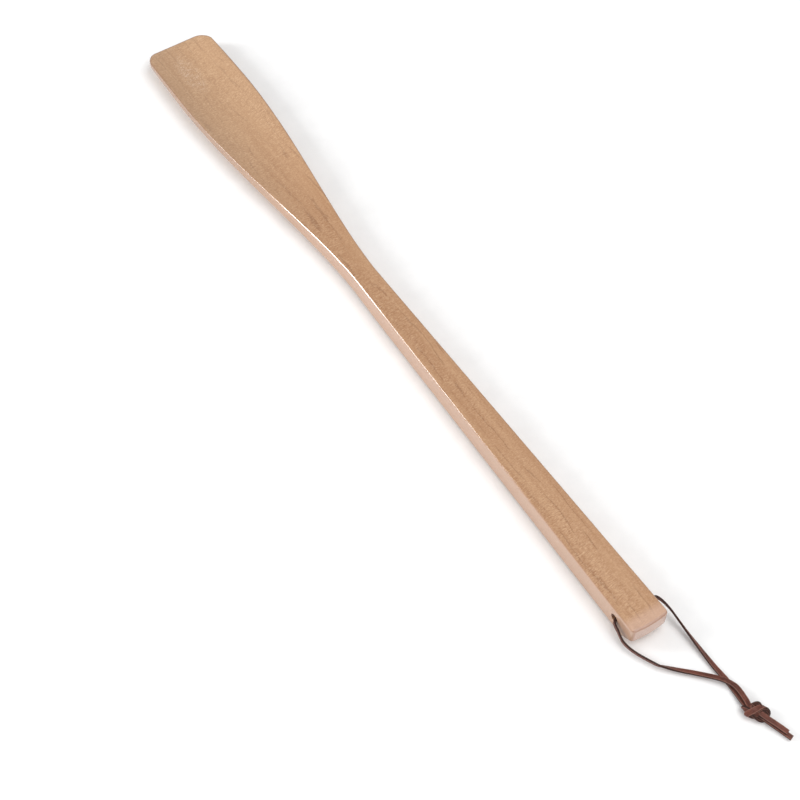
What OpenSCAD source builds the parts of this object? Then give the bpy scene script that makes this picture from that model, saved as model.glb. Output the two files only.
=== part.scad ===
// Long wooden shoehorn with a leather hanging lace.
// Frame: +X runs towards the blade tip, +Z points out of the scooped front, and the
// origin lies on the flat back of the handle, straight below the lace hole.

/* [Horn] */
// Length of the wood, from butt to blade tip
horn_length = 503; // [470:1:540]
// Width of the handle at its butt
butt_width = 23.8; // [20:0.2:26]
// Thickness of the handle at its butt
butt_thickness = 15.2; // [14:0.1:17]
// How far the back of the butt curves up from the resting plane at its end
butt_relief = 4.5; // [0:0.5:6]
// Width of the neck, the narrowest place
neck_width = 14.8; // [14:0.2:20]
// Distance from the butt to the neck
neck_from_butt = 275; // [250:5:300]
// Rounding along the long edges of the handle
edge_round = 1.2; // [0.8:0.1:2.5]

/* [Blade] */
// Widest place of the blade
blade_width = 46; // [40:0.2:52]
// Height of the blade's rims above the resting plane, at the tip
rim_height = 12.2; // [11.5:0.1:14]
// How far the scoop sinks below the rims
scoop_depth = 5.3; // [3:0.1:5.5]
// Clearance below the middle of the blade, at the tip
tip_lift = 3.8; // [2:0.1:4]
// Clearance below the rims of the blade, at the tip
rim_lift = 7.6; // [6:0.1:8]
// Radius of the two corners of the tip, seen from above
tip_corner = 8; // [6:0.5:14]
// Radius of the arc across the end of the tip, seen from above
tip_arc = 54; // [45:1:120]
// How much narrower the blade becomes over its last 60 mm
tip_taper = 1.6; // [0:0.2:3]
// How far the front rolls down towards the end of the tip
tip_roll = 0.9; // [0:0.1:1]

/* [Lace] */
// Width of the flat leather lace
lace_width = 3; // [2:0.1:3.2]
// Thickness of the flat leather lace
lace_thickness = 1.2; // [0.8:0.1:1.3]
// Diameter of the hole that the lace runs through
hole_diameter = 5; // [4.4:0.1:6]
// Distance from the butt to the axis of the hole
hole_from_butt = 16.4; // [12:0.2:20]

/* [Hidden] */
hole_height = butt_thickness / 2;
butt_corner = 2.2;                      // plan radius of the two corners of the butt
butt_arc = 75;                          // plan radius of the arc across the butt
butt_arc_reach = 12;                    // length over which that arc fades out
relief_reach = 10;                      // length over which the back of the butt curves up
tip_edge_round = 0.85;                  // rounding of the thin edge around the tip
tip_arc_reach = 30;                     // length over which the arc across the tip fades out
tip_roll_reach = 9;                     // depth from the edge over which the front rolls down
tip_zone = 60;                          // last stretch of the blade, which tapers and rolls down
edge_blend = 200;                       // length over which the edge rounding changes past the neck
scoop_start = neck_from_butt + 8;
scoop_full = horn_length - 53;
lift_start = neck_from_butt - 30;
lift_power = 1.6;                       // how late the middle of the blade lifts off the plane
lift_softness = 0.08;                   // how gently the rims begin to lift off the plane
flare_full = horn_length - 52;
flare_power = 0.9;                      // below 1, the blade widens early
arc_steps = 3;                          // facets in each rounded edge
cross_steps = 10;                       // facets across the front and the back

// ---- curves and sizes of the horn; s is the distance from the butt ----

function mix(a, b, t) = a + (b - a) * t;
function clamp01(t) = min(1, max(0, t));
function ease(t) = let (u = clamp01(t)) u * u * (3 - 2 * u);
function tip_share(s) = clamp01((s - horn_length + tip_zone) / tip_zone);
function flare_share(s) = clamp01((s - neck_from_butt) / (flare_full - neck_from_butt));
function lift_share(s) = clamp01((s - lift_start) / (horn_length - lift_start));

function half_width(s) =
    let (handle = clamp01(1 - s / neck_from_butt),
         flare = ease(pow(flare_share(s), flare_power)),
         taper = tip_taper * pow(tip_share(s), 2))
    (neck_width + (butt_width - neck_width) * handle + (blade_width - neck_width) * flare - taper) / 2;

function rim_top(s) = mix(butt_thickness, rim_height, s / horn_length);
function scoop(s) = scoop_depth * ease((s - scoop_start) / (scoop_full - scoop_start));
function middle_lift(s) = tip_lift * pow(lift_share(s), lift_power);
function rim_lift_at(s) =
    let (u = lift_share(s), v = u * u / (u + lift_softness))
    rim_lift * (1 - (1 - v) * (1 - v));
function edge_round_at(s) = mix(edge_round, tip_edge_round, ease((s - neck_from_butt) / edge_blend));

// Heights of the front and the back at a place y across the horn and a depth inside its edge.
function across(s, y) = pow(clamp01(abs(y) / half_width(s)), 2);
function roll_at(s, depth) = tip_roll * ease(tip_share(s)) * pow(clamp01(1 - depth / tip_roll_reach), 2);
function edge_drop(s, depth) =
    let (r = edge_round_at(s), u = 1 - clamp01(depth / r))
    r * (1 - sqrt(1 - u * u));
function front_z(s, y, depth) =
    rim_top(s) - scoop(s) * (1 - across(s, y)) - roll_at(s, depth) - edge_drop(s, depth);
function back_z(s, y, depth) =
    mix(middle_lift(s), rim_lift_at(s), across(s, y)) + edge_drop(s, depth)
    + butt_relief * ease(1 - s / relief_reach);

// Bends a square grid around a rounded corner: [inset from the end, inset from the side, depth].
function corner_map(end_in, side_in, r) =
    (end_in < r && side_in < r)
    ? let (a = 1 - end_in / r, b = 1 - side_in / r,
           p = a * sqrt(1 - b * b / 2), q = b * sqrt(1 - a * a / 2))
      [r * (1 - p), r * (1 - q), r * (1 - norm([p, q]))]
    : [end_in, side_in, min(end_in, side_in)];

// One grid point of the horn in plan: [x, y, depth inside the edge, s].
function plan_point(s, y) =
    let (near_tip = s > horn_length / 2,
         end_in = near_tip ? horn_length - s : s,
         c = corner_map(end_in, half_width(s) - abs(y), near_tip ? tip_corner : butt_corner),
         s2 = near_tip ? horn_length - c[0] : c[0],
         y2 = sign(y) * (half_width(s) - c[1]),
         tip_sag = y2 * y2 / (2 * tip_arc) * ease(1 - (horn_length - s) / tip_arc_reach),
         butt_sag = y2 * y2 / (2 * butt_arc) * ease(1 - s / butt_arc_reach))
    [s2 - tip_sag + butt_sag - hole_from_butt, y2, c[2], s2];

function edge_insets(r) = [for (k = [0 : arc_steps]) r * (1 - cos(90 * k / arc_steps))];
function reversed(list) = [for (i = [len(list) - 1 : -1 : 0]) list[i]];

// Distances from the butt at which the horn's grid has a row.
tip_insets = reversed([for (inset = edge_insets(tip_edge_round)) if (inset < tip_edge_round) inset]);
relief_stations = [for (k = [1 : 4]) mix(edge_round, relief_reach, k / 4)];
handle_stations = [for (k = [1 : 6]) mix(relief_reach, lift_start, k / 6)];
blade_stations = [for (k = [1 : 20]) mix(lift_start, horn_length - tip_corner, k / 20)];
tip_stations = [for (k = [1 : 4]) mix(horn_length - tip_corner, horn_length - tip_edge_round, k / 4)];
stations = concat(edge_insets(edge_round), relief_stations, handle_stations, blade_stations,
                  tip_stations, [for (inset = tip_insets) horn_length - inset]);

// Places across the horn at which one row has a point, from one side to the other.
function row_offsets(s) =
    let (hw = half_width(s), r = edge_round_at(s), ins = edge_insets(r))
    concat([for (k = [0 : arc_steps - 1]) -(hw - ins[k])],
           [for (k = [0 : cross_steps]) mix(-(hw - r), hw - r, k / cross_steps)],
           [for (k = [arc_steps - 1 : -1 : 0]) hw - ins[k]]);

// A closed skin from two grids of points, one for the front and one for the back.
module loft_shell(front, back) {
    rows = len(front);
    cols = len(front[0]);
    count = rows * cols;
    function at(i, j) = i * cols + j;
    front_faces = [for (i = [0 : rows - 2], j = [0 : cols - 2], half = [0, 1])
        half == 0 ? [at(i, j), at(i, j + 1), at(i + 1, j + 1)]
                  : [at(i, j), at(i + 1, j + 1), at(i + 1, j)]];
    back_faces = [for (f = front_faces) [f[0] + count, f[2] + count, f[1] + count]];
    rim = concat([for (j = [0 : cols - 1]) at(0, j)],
                 [for (i = [1 : rows - 1]) at(i, cols - 1)],
                 [for (j = [cols - 2 : -1 : 0]) at(rows - 1, j)],
                 [for (i = [rows - 2 : -1 : 1]) at(i, 0)]);
    wall_faces = [for (k = [0 : len(rim) - 1], half = [0, 1])
        let (a = rim[k], b = rim[(k + 1) % len(rim)])
        half == 0 ? [a, a + count, b + count] : [a, b + count, b]];
    polyhedron(points = [for (grid = [front, back], row = grid, p = row) p],
               faces = concat(front_faces, back_faces, wall_faces));
}

module horn_blank() {
    plan = [for (s = stations) [for (y = row_offsets(s)) plan_point(s, y)]];
    front = [for (row = plan) [for (p = row) [p[0], p[1], front_z(p[3], p[1], p[2])]]];
    back = [for (row = plan) [for (p = row) [p[0], p[1], back_z(p[3], p[1], p[2])]]];
    loft_shell(front, back);
}

module horn_body() {
    color("burlywood")
    difference() {
        horn_blank();
        translate([0, 0, hole_height])
            rotate([90, 0, 0])
                cylinder(h = butt_width + 4, d = hole_diameter, center = true, $fn = 48);
    }
}

// ---- lace: one flat strip swept along a smooth curve through a few guide points ----
// A guide is [x, y, z, lean]: lean turns the strip about its own run, and 0 is lying flat.

mouth = butt_width / 2;
left_leg = [
    [0, mouth - 3, hole_height, 90],
    [-0.4, mouth + 0.8, hole_height - 0.1, 90],
    [-5.6, mouth + 2.2, 5.8, 84],
    [-12.8, mouth + 2.4, 3.3, 80],
    [-20.4, 12.3, 2.2, 76],
    [-32.3, 6.6, 1.8, 70],
    [-40.6, -0.6, 1.8, 56],
    [-47, -7.2, 2.1, 34],
    [-56.5, -15.6, 2.9, 18],
    [-62.5, -19.1, 2.9, 6],
    [-67, -19.8, 3.0, 0],
    [-74, -19.0, 3.4, 0]];
right_leg = [
    [0, 3 - mouth, hole_height, 90],
    [-0.4, -mouth - 1.4, hole_height - 0.1, 96],
    [-3.2, -mouth - 4.1, 7.1, 104],
    [-10.7, -mouth - 6, 5.4, 112],
    [-26.5, -18.2, 2.7, 122],
    [-46.7, -18.2, 1.3, 160],
    [-60, -18.9, 0.8, 180],
    [-74, -17.7, 1.9, 180]];
loop_guides = concat(reversed(left_leg), right_leg);
upper_tail = [[-87.4, -21.1, 3.5, 0], [-93, -23.1, 3.2, 0], [-99.4, -25.4, 2.7, 0]];
lower_tail = [[-87.4, -21.1, 2.0, 0], [-93, -23.1, 1.7, 0], [-102.8, -26.6, 1.1, 0]];
knot_centre = [-80.8, -19.7, 3.3];
knot_size = [13.0, 7.2, 5.8];
knot_turn = 50;                         // the knot lies askew to the lace

function spline_point(p, k, t) =
    let (n = len(p) - 1,
         a = p[max(0, k - 1)], b = p[k], c = p[k + 1], d = p[min(n, k + 2)],
         ta = (c - a) / 2, tb = (d - b) / 2)
    b * (2 * t * t * t - 3 * t * t + 1) + ta * (t * t * t - 2 * t * t + t)
    + c * (3 * t * t - 2 * t * t * t) + tb * (t * t * t - t * t);
function spline(p, steps) = concat(
    [for (k = [0 : len(p) - 2], i = [0 : steps - 1]) spline_point(p, k, i / steps)],
    [p[len(p) - 1]]);
function unit(v) = v / norm(v);
function place_of(guide) = [guide[0], guide[1], guide[2]];

module strip(guides, steps) {
    line = spline(guides, steps);
    last = len(line) - 1;
    rings = [for (i = [0 : last])
        let (here = place_of(line[i]),
             run = unit(place_of(line[min(last, i + 1)]) - place_of(line[max(0, i - 1)])),
             level = unit(cross([0, 0, 1], run)),
             upright = cross(run, level),
             wide = level * cos(line[i][3]) + upright * sin(line[i][3]),
             thick = cross(run, wide))
        [for (corner = [[1, 1], [-1, 1], [-1, -1], [1, -1]])
            here + wide * corner[0] * lace_width / 2 + thick * corner[1] * lace_thickness / 2]];
    sides = [for (i = [0 : last - 1], k = [0 : 3], half = [0, 1])
        let (a = 4 * i + k, b = 4 * i + (k + 1) % 4)
        half == 0 ? [a, b, b + 4] : [a, b + 4, a + 4]];
    end = 4 * last;
    caps = [[3, 2, 1], [3, 1, 0], [end, end + 1, end + 2], [end, end + 2, end + 3]];
    polyhedron(points = [for (ring = rings, p = ring) p], faces = concat(sides, caps));
}

// The two strands of the loop, from the knot through the hole and back to the knot.
module lace_loop() {
    color("saddlebrown")
    strip(loop_guides, 4);
}

// The space that the overhand knot fills.
module lace_knot() {
    color("saddlebrown")
    translate(knot_centre)
        rotate(knot_turn)
            scale(knot_size / 2)
                rotate_extrude($fn = 48)
                    polygon([for (k = [0 : 16]) let (a = -90 + 180 * k / 16)
                        [k % 16 == 0 ? 0 : cos(a), sin(a)]]);
}

module lace_tail_upper() {
    color("saddlebrown")
    strip(upper_tail, 3);
}

module lace_tail_lower() {
    color("saddlebrown")
    strip(lower_tail, 3);
}

horn_body();
lace_loop();
lace_knot();
lace_tail_upper();
lace_tail_lower();
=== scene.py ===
"""Looks of a long wooden shoehorn with a leather hanging lace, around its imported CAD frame.

Metres throughout, in the CAD's frame: +X runs towards the blade tip, +Z points out of the
scooped front, and the origin lies on the back of the handle, straight below the lace hole.
"""
import math

import bmesh
import bpy
import numpy as np
from mathutils import Matrix, Vector


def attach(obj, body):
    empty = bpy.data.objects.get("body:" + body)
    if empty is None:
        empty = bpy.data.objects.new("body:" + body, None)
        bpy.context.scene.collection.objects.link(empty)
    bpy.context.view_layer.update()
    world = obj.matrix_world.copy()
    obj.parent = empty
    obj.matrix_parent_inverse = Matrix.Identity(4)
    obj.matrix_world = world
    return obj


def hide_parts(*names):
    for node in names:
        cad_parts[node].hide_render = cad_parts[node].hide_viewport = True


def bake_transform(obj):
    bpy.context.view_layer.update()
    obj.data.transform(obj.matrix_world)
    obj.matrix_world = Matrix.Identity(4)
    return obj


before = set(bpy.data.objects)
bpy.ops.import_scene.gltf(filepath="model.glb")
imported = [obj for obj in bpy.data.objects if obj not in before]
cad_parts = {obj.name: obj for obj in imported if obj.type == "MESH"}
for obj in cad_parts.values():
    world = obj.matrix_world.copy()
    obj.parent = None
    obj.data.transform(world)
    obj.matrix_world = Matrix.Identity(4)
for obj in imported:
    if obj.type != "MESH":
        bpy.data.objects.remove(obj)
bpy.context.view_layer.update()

MM = 0.001

# ---------------------------------------------------------------- sizes of the horn, in mm

LENGTH = 503.0
BUTT_WIDTH, NECK_WIDTH, BLADE_WIDTH = 23.8, 14.8, 46.0
BUTT_THICKNESS, RIM_HEIGHT = 15.2, 12.2
BUTT_RELIEF, RELIEF_REACH = 4.5, 10.0
NECK_AT = 275.0
EDGE_ROUND, TIP_EDGE_ROUND, EDGE_BLEND = 1.2, 0.85, 200.0
SCOOP_DEPTH, TIP_LIFT, RIM_LIFT = 5.3, 3.8, 7.6
TIP_CORNER, TIP_ARC, TIP_ARC_REACH = 8.0, 54.0, 30.0
TIP_TAPER, TIP_ROLL, TIP_ROLL_REACH, TIP_ZONE = 1.6, 0.9, 9.0, 60.0
BUTT_CORNER, BUTT_ARC, BUTT_ARC_REACH = 2.2, 75.0, 12.0
HOLE_AT, HOLE_HEIGHT, HOLE_DIAMETER, HOLE_LIP = 16.4, 7.6, 5.0, 0.45
SCOOP_START, SCOOP_FULL = NECK_AT + 8.0, LENGTH - 53.0
LIFT_START, LIFT_POWER, LIFT_SOFTNESS = NECK_AT - 30.0, 1.6, 0.08
FLARE_FULL, FLARE_POWER = LENGTH - 52.0, 0.9


def mix(a, b, t):
    return a + (b - a) * t


def clamp01(t):
    return min(1.0, max(0.0, t))


def ease(t):
    u = clamp01(t)
    return u * u * (3 - 2 * u)


def half_width(s):
    handle = clamp01(1 - s / NECK_AT)
    flare = ease(clamp01((s - NECK_AT) / (FLARE_FULL - NECK_AT)) ** FLARE_POWER)
    taper = TIP_TAPER * clamp01((s - LENGTH + TIP_ZONE) / TIP_ZONE) ** 2
    width = NECK_WIDTH + (BUTT_WIDTH - NECK_WIDTH) * handle + (BLADE_WIDTH - NECK_WIDTH) * flare
    return (width - taper) / 2


def edge_round_at(s):
    return mix(EDGE_ROUND, TIP_EDGE_ROUND, ease((s - NECK_AT) / EDGE_BLEND))


def lift_share(s):
    return clamp01((s - LIFT_START) / (LENGTH - LIFT_START))


def heights(s, y, depth):
    """Height of the front and of the back at a place y across the horn and a depth inside its edge."""
    across = clamp01(abs(y) / half_width(s)) ** 2
    r = edge_round_at(s)
    u = 1 - clamp01(depth / r)
    drop = r * (1 - math.sqrt(1 - u * u))
    scoop = SCOOP_DEPTH * ease((s - SCOOP_START) / (SCOOP_FULL - SCOOP_START))
    roll = TIP_ROLL * ease((s - LENGTH + TIP_ZONE) / TIP_ZONE) * clamp01(1 - depth / TIP_ROLL_REACH) ** 2
    front = mix(BUTT_THICKNESS, RIM_HEIGHT, s / LENGTH) - scoop * (1 - across) - roll - drop
    lift = lift_share(s)
    middle = TIP_LIFT * lift ** LIFT_POWER
    v = lift * lift / (lift + LIFT_SOFTNESS)
    rims = RIM_LIFT * (1 - (1 - v) ** 2)
    back = mix(middle, rims, across) + drop + BUTT_RELIEF * ease(1 - s / RELIEF_REACH)
    return front, back


def corner_map(end_in, side_in, r):
    """Bends a square grid around a rounded corner: inset from the end, inset from the side, depth."""
    if end_in >= r or side_in >= r:
        return end_in, side_in, min(end_in, side_in)
    a, b = 1 - end_in / r, 1 - side_in / r
    p, q = a * math.sqrt(1 - b * b / 2), b * math.sqrt(1 - a * a / 2)
    return r * (1 - p), r * (1 - q), r * (1 - math.hypot(p, q))


def plan_point(s, y):
    near_tip = s > LENGTH / 2
    end_in = LENGTH - s if near_tip else s
    hw = half_width(s)
    end_in, side_in, depth = corner_map(end_in, hw - abs(y), TIP_CORNER if near_tip else BUTT_CORNER)
    s2 = LENGTH - end_in if near_tip else end_in
    y2 = math.copysign(hw - side_in, y)
    tip_sag = y2 * y2 / (2 * TIP_ARC) * ease(1 - (LENGTH - s) / TIP_ARC_REACH)
    butt_sag = y2 * y2 / (2 * BUTT_ARC) * ease(1 - s / BUTT_ARC_REACH)
    return s2 - tip_sag + butt_sag - HOLE_AT, y2, depth, s2


def edge_insets(r, steps):
    return [r * (1 - math.cos(math.pi / 2 * k / steps)) for k in range(steps + 1)]


# ---------------------------------------------------------------- small mesh helpers

def new_object(name, verts, faces, smooth=True):
    mesh = bpy.data.meshes.new(name)
    mesh.from_pydata([tuple(v) for v in verts], [], faces)
    mesh.update()
    if smooth:
        mesh.polygons.foreach_set("use_smooth", [True] * len(mesh.polygons))
    obj = bpy.data.objects.new(name, mesh)
    bpy.context.scene.collection.objects.link(obj)
    return obj


def sharpen(obj, degrees):
    """Marks the edges that turn by more than an angle, so that smooth shading stops at them."""
    bm = bmesh.new()
    bm.from_mesh(obj.data)
    limit = math.radians(degrees)
    for e in bm.edges:
        e.smooth = len(e.link_faces) == 2 and e.calc_face_angle(0.0) < limit
    bm.to_mesh(obj.data)
    bm.free()


def revolve(name, profile, sides):
    """A closed solid of revolution around Y from (y, radius) pairs."""
    verts, faces = [], []
    for y, radius in profile:
        for k in range(sides):
            a = 2 * math.pi * k / sides
            verts.append((radius * math.cos(a) * MM, y * MM, radius * math.sin(a) * MM))
    for i in range(len(profile) - 1):
        for k in range(sides):
            a, b = i * sides + k, i * sides + (k + 1) % sides
            faces.append((a, a + sides, b + sides, b))
    faces.append(tuple(range(sides)))
    last = (len(profile) - 1) * sides
    faces.append(tuple(reversed(range(last, last + sides))))
    return new_object(name, verts, faces)


# ---------------------------------------------------------------- the horn

EDGE_STEPS = 8
CROSS_STEPS = 36
WALL_STEPS = 14


def horn_mesh():
    near_hole = [HOLE_AT + 0.75 * k for k in range(-8, 9)]
    rows = set(edge_insets(EDGE_ROUND, EDGE_STEPS))
    rows |= {LENGTH - inset for inset in edge_insets(TIP_EDGE_ROUND, EDGE_STEPS)}
    rows |= set(near_hole)
    rows |= set(np.linspace(EDGE_ROUND, RELIEF_REACH, 12).tolist())
    rows |= set(np.linspace(HOLE_AT + 9, LIFT_START, 60).tolist())
    rows |= set(np.linspace(LIFT_START, LENGTH - TIP_CORNER, 130).tolist())
    rows |= set(np.linspace(LENGTH - TIP_CORNER, LENGTH - TIP_EDGE_ROUND, 16).tolist())
    rows = sorted(rows)
    kept = [rows[0]]
    for s in rows[1:]:
        if s - kept[-1] > 1e-3:
            kept.append(s)
    rows = kept

    front, back = [], []
    cols = 0
    for s in rows:
        hw, r = half_width(s), edge_round_at(s)
        ins = edge_insets(r, EDGE_STEPS)
        ys = [-(hw - i) for i in ins[:-1]]
        ys += [mix(-(hw - r), hw - r, k / CROSS_STEPS) for k in range(CROSS_STEPS + 1)]
        ys += [hw - i for i in reversed(ins[:-1])]
        cols = len(ys)
        for y in ys:
            x, y2, depth, s2 = plan_point(s, y)
            top, bottom = heights(s2, y2, depth)
            front.append((x, y2, top))
            back.append((x, y2, bottom))
    verts = front + back
    count = len(front)
    faces = []

    def at(i, j):
        return i * cols + j
    for i in range(len(rows) - 1):
        for j in range(cols - 1):
            a, b, c, d = at(i, j), at(i, j + 1), at(i + 1, j + 1), at(i + 1, j)
            faces.append((a, d, c, b))
            faces.append((a + count, b + count, c + count, d + count))
    rim = [at(0, j) for j in range(cols)]
    rim += [at(i, cols - 1) for i in range(1, len(rows))]
    rim += [at(len(rows) - 1, j) for j in range(cols - 2, -1, -1)]
    rim += [at(i, 0) for i in range(len(rows) - 2, 0, -1)]
    # The wall between the two grids, in level bands.
    levels = [rim]
    for band in range(1, WALL_STEPS):
        ring = []
        for v in rim:
            top, bottom = verts[v], verts[v + count]
            ring.append(len(verts))
            verts.append(tuple(mix(top[k], bottom[k], band / WALL_STEPS) for k in range(3)))
        levels.append(ring)
    levels.append([v + count for v in rim])
    for upper, lower in zip(levels, levels[1:]):
        for k in range(len(rim)):
            n = (k + 1) % len(rim)
            faces.append((upper[k], upper[n], lower[n], lower[k]))
    verts = [(x * MM, y * MM, z * MM) for x, y, z in verts]
    return new_object("horn_shell", verts, faces)


def drill(obj):
    """Cuts the lace hole, with a softened lip at both mouths."""
    lip = HOLE_LIP
    mouth = half_width(HOLE_AT)
    r = HOLE_DIAMETER / 2
    arc = [(mouth - lip * (1 - math.sin(a)), r + lip * (1 - math.cos(a)))
           for a in [math.pi / 2 * k / 5 for k in range(6)]]
    side_grain_and_sheen = [(mouth + 2.0, arc[-1][1] + 0.25)] + [(y, q) for y, q in reversed(arc)]
    profile = [(-y, q) for y, q in side_grain_and_sheen] + list(reversed(side_grain_and_sheen))
    cutter = revolve("cutter", profile, 64)
    cutter.location = (0, 0, HOLE_HEIGHT * MM)
    bpy.context.view_layer.update()
    cut = obj.modifiers.new("hole", "BOOLEAN")
    cut.operation = "DIFFERENCE"
    cut.solver = "EXACT"
    cut.object = cutter
    done = bpy.data.meshes.new_from_object(obj.evaluated_get(bpy.context.evaluated_depsgraph_get()))
    obj.modifiers.clear()
    old = obj.data
    obj.data = done
    bpy.data.meshes.remove(old)
    bpy.data.objects.remove(cutter)
    obj.data.name = "horn_shell"
    obj.data.polygons.foreach_set("use_smooth", [True] * len(obj.data.polygons))


def store_inset(obj):
    """Keeps each vertex's distance inside the outline, seen from above and in mm, for the painted shade
    along the blade's rim.
    """
    insets = []
    for v in obj.data.vertices:
        x, y = v.co.x / MM, v.co.y / MM
        s = x + HOLE_AT
        end_in = LENGTH - s - y * y / (2 * TIP_ARC)
        side_in = half_width(s) - abs(y)
        if end_in < TIP_CORNER and side_in < TIP_CORNER:
            insets.append(TIP_CORNER - math.hypot(TIP_CORNER - end_in, TIP_CORNER - side_in))
        else:
            insets.append(min(end_in, side_in))
    store = obj.data.attributes.new("inset", "FLOAT", "POINT")
    store.data.foreach_set("value", np.array(insets, np.float32))


# ---------------------------------------------------------------- ribbons of leather

LACE_WIDTH, LACE_THICKNESS, LACE_CORNER = 3.0, 1.2, 0.28
# Guides are [x, y, z, lean]: a place in mm, and the turn in degrees of the lace's width from level.
MOUTH = BUTT_WIDTH / 2
LEFT_LEG = [
    [-1.1, MOUTH - 3, HOLE_HEIGHT - 0.2, 90],
    [-1.3, MOUTH + 0.2, HOLE_HEIGHT - 0.3, 90],
    [-3.4, MOUTH + 1.3, 6.4, 88],
    [-7.0, MOUTH + 1.8, 5.3, 84],
    [-12.8, MOUTH + 2.4, 3.3, 80],
    [-20.4, 12.3, 2.2, 76],
    [-31.6, 7.1, 1.9, 74],
    [-34.8, 4.6, 1.9, 52],
    [-40.6, -0.8, 1.9, 30],
    [-47, -7.2, 2.1, 20],
    [-56.5, -15.6, 2.9, 14],
    [-62.5, -19.1, 2.9, 6],
    [-67, -19.8, 3.0, 0],
    [-74, -19.0, 3.4, 0]]
RIGHT_LEG = [
    [-1.0, 3 - MOUTH, HOLE_HEIGHT - 0.2, 90],
    [-1.1, -MOUTH - 1.4, HOLE_HEIGHT - 0.1, 96],
    [-3.2, -MOUTH - 4.1, 7.1, 104],
    [-10.7, -MOUTH - 6, 5.4, 112],
    [-26.5, -18.2, 2.7, 122],
    [-46.7, -18.2, 1.3, 160],
    [-60, -18.9, 0.8, 180],
    [-74, -17.7, 1.9, 180]]
# Where the two strands run on inside the knot.
LEFT_ROOT = [[-76.5, -18.3, 3.8, 0], [-79.5, -18.9, 4.0, 0]]
RIGHT_ROOT = [[-76.5, -17.8, 2.2, 180], [-79.5, -18.9, 2.6, 180]]
UPPER_TAIL = [[-80.5, -19.4, 4.2, 0], [-84, -20.3, 4.1, 0], [-87.4, -21.5, 3.7, 0], [-93, -23.7, 3.3, 0],
              [-99.4, -26.0, 2.7, 0]]
LOWER_TAIL = [[-80.5, -19.4, 2.6, 0], [-84, -20.0, 2.5, 0], [-87.4, -21.1, 2.2, 0], [-93, -23.1, 1.8, 0],
              [-102.6, -26.5, 1.1, 0]]


def spline(points, steps):
    """Catmull-Rom curve through guide points, with every guide kept."""
    p = [np.array(q, float) for q in points]
    n = len(p) - 1
    line = []
    for k in range(n):
        a, b, c, d = p[max(0, k - 1)], p[k], p[k + 1], p[min(n, k + 2)]
        ta, tb = (c - a) / 2, (d - b) / 2
        for i in range(steps):
            t = i / steps
            line.append(b * (2 * t ** 3 - 3 * t * t + 1) + ta * (t ** 3 - 2 * t * t + t)
                        + c * (3 * t * t - 2 * t ** 3) + tb * (t ** 3 - t * t))
    line.append(p[n])
    return line


def section(width, thickness, corner, per_corner=4, per_face=6):
    """Outline of a flat lace: a rectangle with rounded corners and divided long faces."""
    outline = []
    hw, ht = width / 2 - corner, thickness / 2 - corner
    for cx, cy, start in ((hw, ht, 0), (-hw, ht, 90), (-hw, -ht, 180), (hw, -ht, 270)):
        for k in range(per_corner + 1):
            a = math.radians(start + 90 * k / per_corner)
            outline.append((cx + corner * math.cos(a), cy + corner * math.sin(a)))
    full = []
    for k, here in enumerate(outline):
        after = outline[(k + 1) % len(outline)]
        full.append(here)
        if abs(after[0] - here[0]) > width / 3:
            for i in range(1, per_face):
                t = i / per_face
                full.append((mix(here[0], after[0], t), mix(here[1], after[1], t)))
    return full


def ribbon(name, places, wides, run_start=0.0, width=LACE_WIDTH, thickness=LACE_THICKNESS, waver=0.0,
           seed=0.0):
    """A flat lace swept along places (mm); wides says which way its width points at each place.

    The mesh keeps each vertex's place on the straight lace, (along, across, through) in mm and
    scaled to the lace's full width, in an attribute, so that the leather's grain follows the
    lace wherever it bends.
    """
    outline = section(width, thickness, LACE_CORNER)
    n = len(outline)
    verts, straight, faces = [], [], []
    along = run_start
    last = len(places) - 1
    for i, here in enumerate(places):
        run = (places[min(last, i + 1)] - places[max(0, i - 1)]).normalized()
        wide = wides[i] - run * wides[i].dot(run)
        wide.normalize()
        thick = run.cross(wide)
        if i:
            along += (here - places[i - 1]).length
        # A cut lace is never quite even: its width wavers by a few hundredths of a millimetre.
        w = 1 + waver * (0.6 * math.sin(along * 0.9 + seed) + 0.4 * math.sin(along * 2.3 + 2 * seed))
        for a, b in outline:
            verts.append(here + wide * a * w + thick * b)
            straight.append((along, a * LACE_WIDTH / width, b))
        if i:
            base = (i - 1) * n
            for k in range(n):
                m = (k + 1) % n
                faces.append((base + k, base + m, base + n + m, base + n + k))
    faces.append(tuple(reversed(range(n))))
    faces.append(tuple(range(last * n, last * n + n)))
    obj = new_object(name, [v * MM for v in verts], faces)
    store = obj.data.attributes.new("straight", "FLOAT_VECTOR", "POINT")
    store.data.foreach_set("vector", np.array(straight, np.float32).ravel())
    sharpen(obj, 50)
    return obj


def guided(points, steps):
    """Places and width directions from guides [x, y, z, lean], read as the CAD reads them."""
    line = spline(points, steps)
    places = [Vector(q[:3].tolist()) for q in line]
    wides = []
    last = len(line) - 1
    for i, q in enumerate(line):
        run = (places[min(last, i + 1)] - places[max(0, i - 1)]).normalized()
        level = Vector((0, 0, 1)).cross(run).normalized()
        upright = run.cross(level)
        lean = math.radians(q[3])
        wides.append(level * math.cos(lean) + upright * math.sin(lean))
    return places, wides


def join(name, objects):
    """One object from several, keeping their attributes."""
    bpy.ops.object.select_all(action="DESELECT")
    for o in objects:
        o.select_set(True)
    bpy.context.view_layer.objects.active = objects[0]
    bpy.ops.object.join()
    whole = objects[0]
    whole.name = name
    whole.data.name = name
    return whole


# ---------------------------------------------------------------- the overhand knot
# The lace enters at KNOT_ENTRY and leaves at KNOT_EXIT; the wraps run around that line.

KNOT_ENTRY = Vector((-75.0, -18.2, 2.9))
KNOT_EXIT = Vector((-87.0, -21.1, 2.9))


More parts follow.
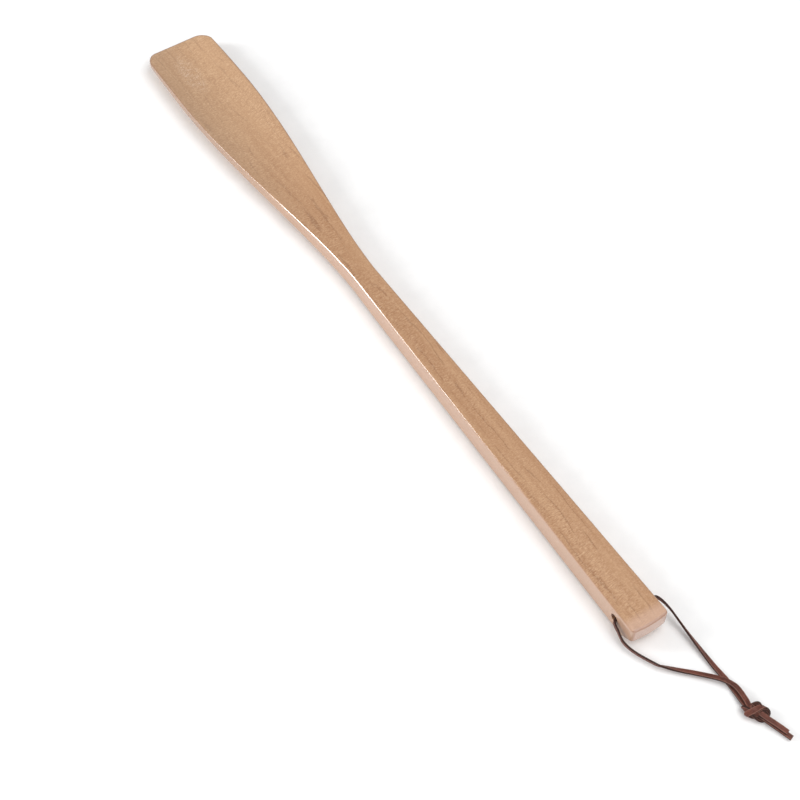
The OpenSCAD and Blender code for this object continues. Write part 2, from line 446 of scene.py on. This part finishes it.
def wrap(name, guides, steps, seed, width=LACE_WIDTH, thickness=LACE_THICKNESS, inward=0.0, shift=0.0):
    """A ribbon whose flat face looks away from the knot's axis, through guides (x, y, z) in mm."""
    axis = (KNOT_EXIT - KNOT_ENTRY).normalized()
    places, looks = [], []
    for q in spline(guides, steps):
        here = Vector(q.tolist())
        foot = KNOT_ENTRY + axis * (here - KNOT_ENTRY).dot(axis)
        look = (here - foot).normalized()
        places.append(here - look * inward + axis * shift)
        looks.append(look)
    wides = []
    last = len(places) - 1
    for i, look in enumerate(looks):
        run = (places[min(last, i + 1)] - places[max(0, i - 1)]).normalized()
        wides.append(look.cross(run).normalized())
    return ribbon(name, places, wides, run_start=40 * seed, waver=0.02, seed=seed, width=width,
                  thickness=thickness)


# The broad band over the top, round the far side, under the tails and back.
BAND = [
    (-83.6, -18.4, 1.1), (-82.0, -16.2, 1.1), (-80.6, -14.7, 1.9), (-80.1, -14.4, 3.5),
    (-80.5, -15.7, 5.0), (-81.1, -18.2, 5.7), (-81.4, -20.6, 5.75), (-81.7, -23.0, 5.1),
    (-82.8, -24.7, 3.8), (-84.6, -24.9, 2.4), (-85.7, -23.4, 1.3), (-86.2, -21.2, 0.95),
    (-85.9, -19.2, 1.0), (-84.6, -17.8, 1.3), (-82.9, -17.0, 1.8), (-81.4, -16.4, 2.4)]
# The loop beside the incoming strands: its lobe, then under the strands and up beside the band.
LOOP = [
    (-80.4, -16.6, 4.4), (-78.8, -15.4, 4.5), (-77.2, -14.9, 4.0), (-76.3, -15.1, 2.8),
    (-76.1, -16.4, 1.5), (-76.6, -18.6, 1.0), (-77.3, -20.8, 1.5), (-78.1, -22.5, 2.9),
    (-79.3, -23.5, 4.1), (-81.0, -23.2, 4.3), (-82.6, -22.2, 3.9)]
# The strands' last turn, which fills the middle.
CORE = [(-77.4, -17.9, 4.3), (-79.2, -17.4, 3.9), (-81.6, -18.0, 4.2), (-84.0, -19.0, 4.1)]


# ---------------------------------------------------------------- material helpers

class Nodes:
    """Short calls for building a shader tree."""

    def __init__(self, name):
        self.material = bpy.data.materials.new(name)
        self.material.use_nodes = True
        self.tree = self.material.node_tree
        self.tree.nodes.clear()

    def add(self, kind, **settings):
        node = self.tree.nodes.new(kind)
        for key, value in settings.items():
            setattr(node, key, value)
        return node

    def put(self, value, socket):
        if isinstance(value, bpy.types.NodeSocket):
            self.tree.links.new(value, socket)
        elif value is not None:
            socket.default_value = value

    def math(self, operation, a, b=None, c=None, clamp=False):
        node = self.add("ShaderNodeMath", operation=operation, use_clamp=clamp)
        for value, socket in zip((a, b, c), node.inputs):
            self.put(value, socket)
        return node.outputs[0]

    def scaled(self, vector, scale, offset=(0, 0, 0)):
        node = self.add("ShaderNodeMapping")
        self.put(vector, node.inputs["Vector"])
        node.inputs["Scale"].default_value = scale
        node.inputs["Location"].default_value = offset
        return node.outputs[0]

    def noise(self, vector, scale=1.0, detail=2.0, roughness=0.5, distortion=0.0):
        node = self.add("ShaderNodeTexNoise")
        self.put(vector, node.inputs["Vector"])
        node.inputs["Scale"].default_value = scale
        node.inputs["Detail"].default_value = detail
        node.inputs["Roughness"].default_value = roughness
        node.inputs["Distortion"].default_value = distortion
        return node.outputs[0]

    def voronoi(self, vector, scale=1.0, feature="F1", randomness=1.0):
        node = self.add("ShaderNodeTexVoronoi", feature=feature)
        self.put(vector, node.inputs["Vector"])
        node.inputs["Scale"].default_value = scale
        node.inputs["Randomness"].default_value = randomness
        return node.outputs["Distance"]

    def span(self, value, low, high, to_low=0.0, to_high=1.0, smooth=True):
        """Maps low..high to to_low..to_high, held at the ends."""
        node = self.add("ShaderNodeMapRange", interpolation_type="SMOOTHSTEP" if smooth else "LINEAR")
        node.clamp = True
        self.put(value, node.inputs["Value"])
        for key, number in (("From Min", low), ("From Max", high), ("To Min", to_low), ("To Max", to_high)):
            node.inputs[key].default_value = number
        return node.outputs[0]

    def blend(self, factor, a, b, mode="MIX"):
        node = self.add("ShaderNodeMix", data_type="RGBA", blend_type=mode)
        node.clamp_factor = True
        self.put(factor, node.inputs[0])
        self.put(a, node.inputs[6])
        self.put(b, node.inputs[7])
        return node.outputs[2]

    def bump(self, height, distance, strength=1.0, normal=None):
        node = self.add("ShaderNodeBump")
        self.put(height, node.inputs["Height"])
        node.inputs["Distance"].default_value = distance
        node.inputs["Strength"].default_value = strength
        if normal is not None:
            self.put(normal, node.inputs["Normal"])
        return node.outputs[0]

    def finish(self, **sockets):
        shader = self.add("ShaderNodeBsdfPrincipled")
        for key, value in sockets.items():
            self.put(value, shader.inputs[key.replace("_", " ")])
        out = self.add("ShaderNodeOutputMaterial")
        self.tree.links.new(shader.outputs[0], out.inputs[0])
        return self.material


def srgb(r, g, b):
    """A colour given as 0..255 display values, as the linear colour that Blender uses."""
    def linear(v):
        v /= 255
        return v / 12.92 if v <= 0.04045 else ((v + 0.055) / 1.055) ** 2.4
    return (linear(r), linear(g), linear(b), 1.0)


# ---------------------------------------------------------------- beech-like wood, clear satin finish

WOOD_LIGHT, WOOD_MID, WOOD_DARK = srgb(188, 146, 108), srgb(175, 131, 93), srgb(158, 111, 73)
WOOD_LINE, WOOD_FLECK, WOOD_GLINT = srgb(128, 84, 50), srgb(134, 84, 48), srgb(222, 186, 150)


def wood_material():
    n = Nodes("pale_wood_satin")

    def on_blade(on_handle, full):
        """A value that changes from the handle to the blade."""
        return n.span(x, 300, 420, on_handle, full)

    def masked(mask, strength):
        return n.math("MULTIPLY", mask, strength)

    def dash_noise(along, scale_along, scale_across):
        """Noise in short dashes across the grain."""
        point = n.add("ShaderNodeCombineXYZ")
        n.put(masked(along, scale_along), point.inputs[0])
        n.put(masked(y, scale_across), point.inputs[1])
        n.put(masked(z, scale_across), point.inputs[2])
        return n.noise(point.outputs[0], 1, 1, 0.5)

    coords = n.add("ShaderNodeTexCoord").outputs["Object"]
    mm = n.scaled(coords, (1000, 1000, 1000))
    split = n.add("ShaderNodeSeparateXYZ")
    n.put(mm, split.inputs[0])
    x, y, z = split.outputs
    geometry = n.add("ShaderNodeNewGeometry")
    facing = n.add("ShaderNodeSeparateXYZ")
    n.put(geometry.outputs["Normal"], facing.inputs[0])
    top = n.span(facing.outputs[2], 0.55, 0.85)

    # Broad drifting bands of growth and fine dark grain lines, both along the stick.
    bands = n.noise(n.scaled(mm, (0.006, 0.16, 0.22), (3, 7, 1)), 1, 3, 0.5, 0.6)
    streaks = n.noise(n.scaled(mm, (0.014, 0.75, 0.75), (11, 2, 5)), 1, 4, 0.6, 0.3)
    lines = n.noise(n.scaled(mm, (0.03, 3.2, 3.2), (4, 9, 3)), 1, 3, 0.6)
    thin_lines = n.span(lines, 0.60, 0.74)

    # Year rings cut at a flat angle: long wandering dark lines, broken up, a few millimetres apart.
    sway = n.noise(n.scaled(mm, (0.009, 0.05, 0.05), (6, 3, 9)), 1, 2, 0.5)
    jitter = n.noise(n.scaled(mm, (0.16, 0.5, 0.5), (1, 8, 2)), 1, 2, 0.5)
    ring_phase = n.math("ADD", n.math("MULTIPLY", y, 1.15), n.math("MULTIPLY", sway, 30.0))
    ring_phase = n.math("ADD", ring_phase, n.math("MULTIPLY", jitter, 2.6))
    ring_lines = n.span(n.math("SINE", ring_phase), 0.70, 1.0)
    ring_gaps = n.span(n.noise(n.scaled(mm, (0.05, 0.3, 0.3), (9, 4, 4)), 1, 2, 0.5), 0.45, 0.62)
    ring_lines = n.math("MULTIPLY", ring_lines, ring_gaps)

    # Fleck of quarter-cut wood: short dashes across the grain, in patches towards one side.
    wobble = n.noise(n.scaled(mm, (0.03, 0.05, 0.05), (0, 5, 2)), 1, 2, 0.5)
    bent_x = n.math("ADD", x, n.math("MULTIPLY", wobble, 2.0))
    lean_x = n.math("ADD", bent_x, n.math("MULTIPLY", y, 0.05))
    dashes = dash_noise(lean_x, 1.35, 0.34)
    fine_dashes = dash_noise(lean_x, 2.2, 0.70)
    dark_dash = n.span(dashes, 0.56, 0.64)
    light_dash = n.span(dashes, 0.45, 0.34)
    small_dash = n.span(fine_dashes, 0.52, 0.66)
    small_light = n.span(fine_dashes, 0.46, 0.34)
    patches = n.noise(n.scaled(mm, (0.02, 0.09, 0.1), (8, 1, 4)), 1, 2, 0.5)
    patches = n.span(patches, 0.34, 0.62, 0.30, 1.0)
    one_side = n.math("MAXIMUM", n.span(y, -9, 6, 0.22, 0.72), on_blade(0.0, 0.95))
    fleck = n.math("MULTIPLY", n.math("MULTIPLY", patches, one_side), n.span(top, 0, 1, 0.12, 1.0))

    # Open pores, as very fine short dashes along the grain, and a soft grainy mottle.
    pores = n.noise(n.scaled(mm, (0.55, 5.5, 5.5), (2, 2, 2)), 1, 2, 0.6)
    pore_mask = n.span(pores, 0.60, 0.76)
    mottle = n.noise(n.scaled(mm, (1.2, 0.9, 0.9)), 1, 3, 0.75)

    colour = n.blend(n.span(bands, 0.32, 0.68), WOOD_MID, WOOD_LIGHT)
    for mask, strength, tint in (
            (n.span(streaks, 0.45, 0.70), on_blade(0.28, 0.42), WOOD_DARK),
            (thin_lines, on_blade(0.16, 0.34), WOOD_LINE),
            (ring_lines, n.span(top, 0, 1, 0.10, 0.50), WOOD_LINE),
            (masked(dark_dash, fleck), 0.46, WOOD_FLECK),
            (masked(light_dash, fleck), 0.40, WOOD_GLINT),
            (masked(small_dash, fleck), 0.38, WOOD_FLECK),
            (masked(small_light, fleck), 0.35, WOOD_GLINT),
            (pore_mask, 0.22, WOOD_FLECK),
            (n.span(mottle, 0.42, 0.70), on_blade(0.30, 0.46), WOOD_DARK),
            (n.span(mottle, 0.50, 0.30), on_blade(0.25, 0.42), WOOD_GLINT)):
        colour = n.blend(masked(mask, strength), colour, tint)

    # Painted sheen near the tip: a patch of pale curly streaks stands in for light caught by the satin coat
    # there.
    def squared_share(value, centre, reach):
        return n.math("POWER", n.math("DIVIDE", n.math("SUBTRACT", value, centre), reach), 2.0)
    sheen_patch_at = n.math("ADD", squared_share(x, 458.0, 24.0), squared_share(y, 4.0, 8.0))
    sheen_curls = n.noise(n.scaled(mm, (0.9, 0.55, 0.9), (5, 1, 0)), 1, 3, 0.6, 1.6)
    sheen_curls = n.math("MULTIPLY", n.span(sheen_curls, 0.50, 0.62), n.span(sheen_patch_at, 1.0, 0.1))
    colour = n.blend(n.math("MULTIPLY", sheen_curls, 0.55), colour, srgb(228, 204, 184))

    # The blade is a little paler than the handle.
    colour = n.blend(n.span(x, 300, 430, 0.0, 0.32), colour, srgb(202, 169, 134))

    # The sides, cut along the rays, get a paler, pinker colour with hardly any fleck, and the end grain a
    # greyer mauve: partly the wood's own cut, partly painted reflection of the bright surroundings on faces
    # seen at a grazing angle.
    side_grain_and_sheen = n.math("SUBTRACT", 1.0, n.span(n.math("ABSOLUTE", facing.outputs[2]), 0.35, 0.8))
    side_grain_and_sheen = n.math("MULTIPLY", side_grain_and_sheen, n.span(x, 400, 260, 0.15, 1.0))
    end = n.span(n.math("ABSOLUTE", facing.outputs[0]), 0.6, 0.9)
    colour = n.blend(n.math("MULTIPLY", side_grain_and_sheen, 0.62), colour, srgb(206, 170, 146))
    grain_end = n.noise(n.scaled(mm, (0.4, 1.1, 4.2)), 1, 3, 0.6)
    end_grain_sheen_colour = n.blend(n.span(grain_end, 0.35, 0.7), srgb(206, 174, 160), srgb(182, 144, 126))
    colour = n.blend(n.math("MULTIPLY", end, 0.75), colour, end_grain_sheen_colour)
    # The last few millimetres of the handle are paler, more so on faces turned upwards, up to a painted
    # shade line on the rounded edge along the butt.
    butt_pale = n.math("MULTIPLY", n.span(x, -5.5, -11.5), n.span(top, 0, 1, 0.2, 0.55))
    colour = n.blend(butt_pale, colour, srgb(204, 168, 148))
    from_butt = n.math("SUBTRACT", n.math("ADD", x, HOLE_AT),
                       n.math("DIVIDE", n.math("MULTIPLY", y, y), 2 * BUTT_ARC))
    # Painted shade: darker where the butt's rounded edge turns away from the top.
    butt_edge_shade = n.math("MULTIPLY", n.span(from_butt, 1.7, 1.0), n.span(facing.outputs[2], 0.15, 0.5))
    colour = n.blend(n.math("MULTIPLY", butt_edge_shade, 0.50), colour, srgb(142, 98, 80))
    # Painted shade along the thin edge round the blade, strongest across its end, where the edge faces turn
    # away from the light.
    stored = n.add("ShaderNodeAttribute", attribute_type="GEOMETRY", attribute_name="inset")
    inset = stored.outputs["Fac"]
    blade_rim_shade = n.math("MULTIPLY", n.span(inset, 1.1, 0.4), n.span(x, 300, 440, 0.15, 0.45))
    tip_end_shade = n.math("MULTIPLY", n.span(inset, 1.3, 0.5), n.span(x, 474, 482, 0.0, 0.85))
    colour = n.blend(n.math("MAXIMUM", blade_rim_shade, tip_end_shade), colour, srgb(112, 78, 70))

    # Handling polishes the long edges: the coat is glossier there, over slightly darker wood.
    across_facing = n.math("ABSOLUTE", facing.outputs[1])
    up_facing = n.math("ABSOLUTE", facing.outputs[2])
    polished = n.math("MULTIPLY", n.span(across_facing, 0.42, 0.60), n.span(up_facing, 0.25, 0.45))
    grip = n.math("MULTIPLY", n.span(x, 215, 255), n.span(x, 350, 312))
    polished = n.math("MULTIPLY", polished, grip)
    colour = n.blend(n.math("MULTIPLY", polished, 0.18), colour, WOOD_FLECK)

    # Bump: the fleck and pores stand in the surface under a satin coat.
    relief = n.math("ADD", n.math("MULTIPLY", streaks, 0.4), n.math("MULTIPLY", pores, -0.5))
    relief = n.math("ADD", relief, n.math("MULTIPLY", n.math("MULTIPLY", dashes, fleck), 0.9))
    relief = n.math("ADD", relief, n.math("MULTIPLY", mottle, 0.5))
    normal = n.bump(relief, 0.00008, 0.8)
    coat_normal = n.bump(relief, 0.00002, 0.5)
    rough = n.span(mottle, 0.3, 0.7, 0.42, 0.58)
    return n.finish(Base_Color=colour, Roughness=rough, Normal=normal, Specular_IOR_Level=0.4,
                    Coat_Weight=0.85, Coat_Roughness=n.span(polished, 0, 1, 0.12, 0.09),
                    Coat_IOR=n.span(polished, 0, 1, 1.6, 2.5), Coat_Normal=coat_normal)


# ---------------------------------------------------------------- brown leather

def leather_material():
    n = Nodes("brown_leather")
    stored = n.add("ShaderNodeAttribute", attribute_type="GEOMETRY", attribute_name="straight")
    straight = stored.outputs["Vector"]
    split = n.add("ShaderNodeSeparateXYZ")
    n.put(straight, split.inputs[0])
    across = split.outputs[1]

    pebble = n.voronoi(n.scaled(straight, (1.5, 2.4, 2.4)), 1.6, "F1", 1.0)
    crease = n.noise(n.scaled(straight, (0.55, 2.2, 2.2)), 1, 4, 0.6, 0.4)
    drift = n.noise(n.scaled(straight, (0.09, 0.25, 0.25), (5, 0, 0)), 1, 3, 0.55)
    fuzz = n.noise(n.scaled(straight, (4.0, 9.0, 9.0)), 1, 3, 0.7)

    colour = n.blend(n.span(drift, 0.32, 0.68), srgb(76, 38, 29), srgb(112, 61, 48))
    colour = n.blend(n.math("MULTIPLY", n.span(crease, 0.45, 0.72), 0.45), colour, srgb(150, 96, 82))
    colour = n.blend(n.math("MULTIPLY", n.span(pebble, 0.30, 0.62), 0.28), colour, srgb(58, 30, 22))
    # The cut edges are darker and fibrous, partly the raw edge and partly painted shade; the corners beside
    # them are paler, partly rubbed wear and partly a painted highlight along the rounded corners.
    to_edge = n.math("ABSOLUTE", across)
    cut = n.span(to_edge, 1.36, 1.47)
    rubbed_and_highlight = n.math("MULTIPLY", n.span(to_edge, 1.08, 1.30), n.math("SUBTRACT", 1.0, cut))
    rubbed_and_highlight = n.math("MULTIPLY", rubbed_and_highlight, n.span(fuzz, 0.35, 0.62, 0.25, 0.75))
    colour = n.blend(rubbed_and_highlight, colour, srgb(176, 128, 110))
    colour = n.blend(n.math("MULTIPLY", cut, 0.85), colour, srgb(40, 19, 14))
    relief = n.math("ADD", n.math("MULTIPLY", pebble, -0.7), n.math("MULTIPLY", crease, 0.8))
    relief = n.math("ADD", relief, n.math("MULTIPLY", n.math("MULTIPLY", fuzz, cut), 0.9))
    normal = n.bump(relief, 0.00012, 0.9)
    rough = n.span(crease, 0.3, 0.7, 0.72, 0.50)
    return n.finish(Base_Color=colour, Roughness=rough, Normal=normal, Specular_IOR_Level=0.25,
                    Sheen_Weight=0.03, Sheen_Roughness=0.4, Sheen_Tint=srgb(220, 180, 165),
                    Coat_Weight=0.10, Coat_Roughness=0.25)


# ---------------------------------------------------------------- build the pieces

wood = wood_material()
leather = leather_material()

horn = horn_mesh()
drill(horn)
sharpen(horn, 32)
store_inset(horn)
horn.name = "horn_shell"
horn.data.materials.append(wood)
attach(horn, "horn")
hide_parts("horn_body")

# The two strands are one lace, from the knot through the hole and back.
places, wides = guided(list(reversed(LEFT_LEG + LEFT_ROOT)) + RIGHT_LEG + RIGHT_ROOT, 14)
strands = ribbon("lace_strands", places, wides, waver=0.015, seed=1.3)
strands.data.materials.append(leather)
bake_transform(strands)
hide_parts("lace_loop")

knot = join("lace_overhand_knot", [
    wrap("band_outer", BAND, 8, 1.7, width=3.1, thickness=1.1),
    wrap("band_inner", BAND, 8, 2.6, width=2.9, thickness=1.0, inward=1.05, shift=0.45),
    wrap("band_core", BAND, 8, 5.3, width=2.8, thickness=1.0, inward=2.0, shift=0.2),
    wrap("loop_outer", LOOP, 8, 3.4, width=2.7, thickness=1.1),
    wrap("loop_inner", LOOP, 8, 4.1, width=2.6, thickness=1.0, inward=1.0, shift=0.3),
    wrap("core", CORE, 8, 4.9, width=2.8, thickness=1.1),
])
knot.data.materials.append(leather)
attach(knot, "knot")
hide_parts("lace_knot")

for name, guides, seed in (("upper", UPPER_TAIL, 2.0), ("lower", LOWER_TAIL, 0.5)):
    places, wides = guided(guides, 8)
    tail = ribbon("lace_end_" + name, places, wides, run_start=90 + 20 * seed, waver=0.015, seed=seed)
    tail.data.materials.append(leather)
    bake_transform(tail)
    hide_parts("lace_tail_" + name)


# ---------------------------------------------------------------- stage, light and camera

scene = bpy.context.scene

FLOOR_REACH, FLOOR_DROP = 4.0, 0.0006
corners = [(i * FLOOR_REACH, j * FLOOR_REACH, 0) for i, j in ((-1, -1), (1, -1), (1, 1), (-1, 1))]
floor = new_object("floor", corners, [(0, 1, 2, 3)])
floor.location.z = -FLOOR_DROP
paper = Nodes("studio_paper")
paper_coords = paper.add("ShaderNodeTexCoord").outputs["Object"]
paper_grain = paper.noise(paper_coords, 60, 4, 0.6)
paper_white = paper.blend(paper.span(paper_grain, 0.3, 0.7), srgb(247, 247, 247), srgb(251, 251, 251))
paper_sheet = paper.finish(Base_Color=paper_white, Roughness=0.9, Specular_IOR_Level=0.1)
# Seen from below the paper is clear, so that the back of the horn can be looked at.
paper_out = next(k for k in paper.tree.nodes if k.type == "OUTPUT_MATERIAL")
paper_mix = paper.add("ShaderNodeMixShader")
paper.put(paper.add("ShaderNodeNewGeometry").outputs["Backfacing"], paper_mix.inputs[0])
paper.tree.links.new(paper_out.inputs[0].links[0].from_socket, paper_mix.inputs[1])
paper.tree.links.new(paper.add("ShaderNodeBsdfTransparent").outputs[0], paper_mix.inputs[2])
paper.tree.links.new(paper_mix.outputs[0], paper_out.inputs[0])
floor.data.materials.append(paper_sheet)


def softbox(name, direction, aim, distance, size, power, colour=(1, 1, 1)):
    """An area light placed from a point in a direction, facing that point."""
    data = bpy.data.lights.new(name, "AREA")
    data.shape = "RECTANGLE"
    data.size, data.size_y = size
    data.energy = power
    data.color = colour
    light = bpy.data.objects.new(name, data)
    d = Vector(direction).normalized()
    light.location = Vector(aim) + d * distance
    light.rotation_euler = d.to_track_quat("Z", "Y").to_euler()
    scene.collection.objects.link(light)
    return light


middle = (0.19, 0.0, 0.0)
softbox("key", (0.50, 0.82, 0.40), (0.26, 0.0, 0.012), 1.35, (0.34, 0.75), 12)
softbox("overhead", (-0.25, -0.30, 0.92), middle, 1.9, (1.5, 1.5), 18)
softbox("fill", (-0.9, 0.1, 0.5), middle, 1.7, (1.0, 1.0), 6)

world = bpy.data.worlds.new("studio")
world.use_nodes = True
world.node_tree.nodes["Background"].inputs[0].default_value = (1, 1, 1, 1)
world.node_tree.nodes["Background"].inputs[1].default_value = 0.48
scene.world = world
scene.view_settings.view_transform = "Standard"
scene.view_settings.look = "None"

camera_data = bpy.data.cameras.new("camera")
camera_data.lens = 90.67
camera_data.sensor_width = 36
camera = bpy.data.objects.new("camera", camera_data)
camera.location = (-0.34997, 0.41109, 0.93953)
forward = Vector((0.4636, -0.3354, -0.8201)).normalized()
right = Vector((-0.5504, -0.8344, 0.0302))
right = (right - forward * right.dot(forward)).normalized()
up = right.cross(forward)
camera.rotation_euler = Matrix((right, up, -forward)).transposed().to_euler()
scene.collection.objects.link(camera)
scene.camera = camera
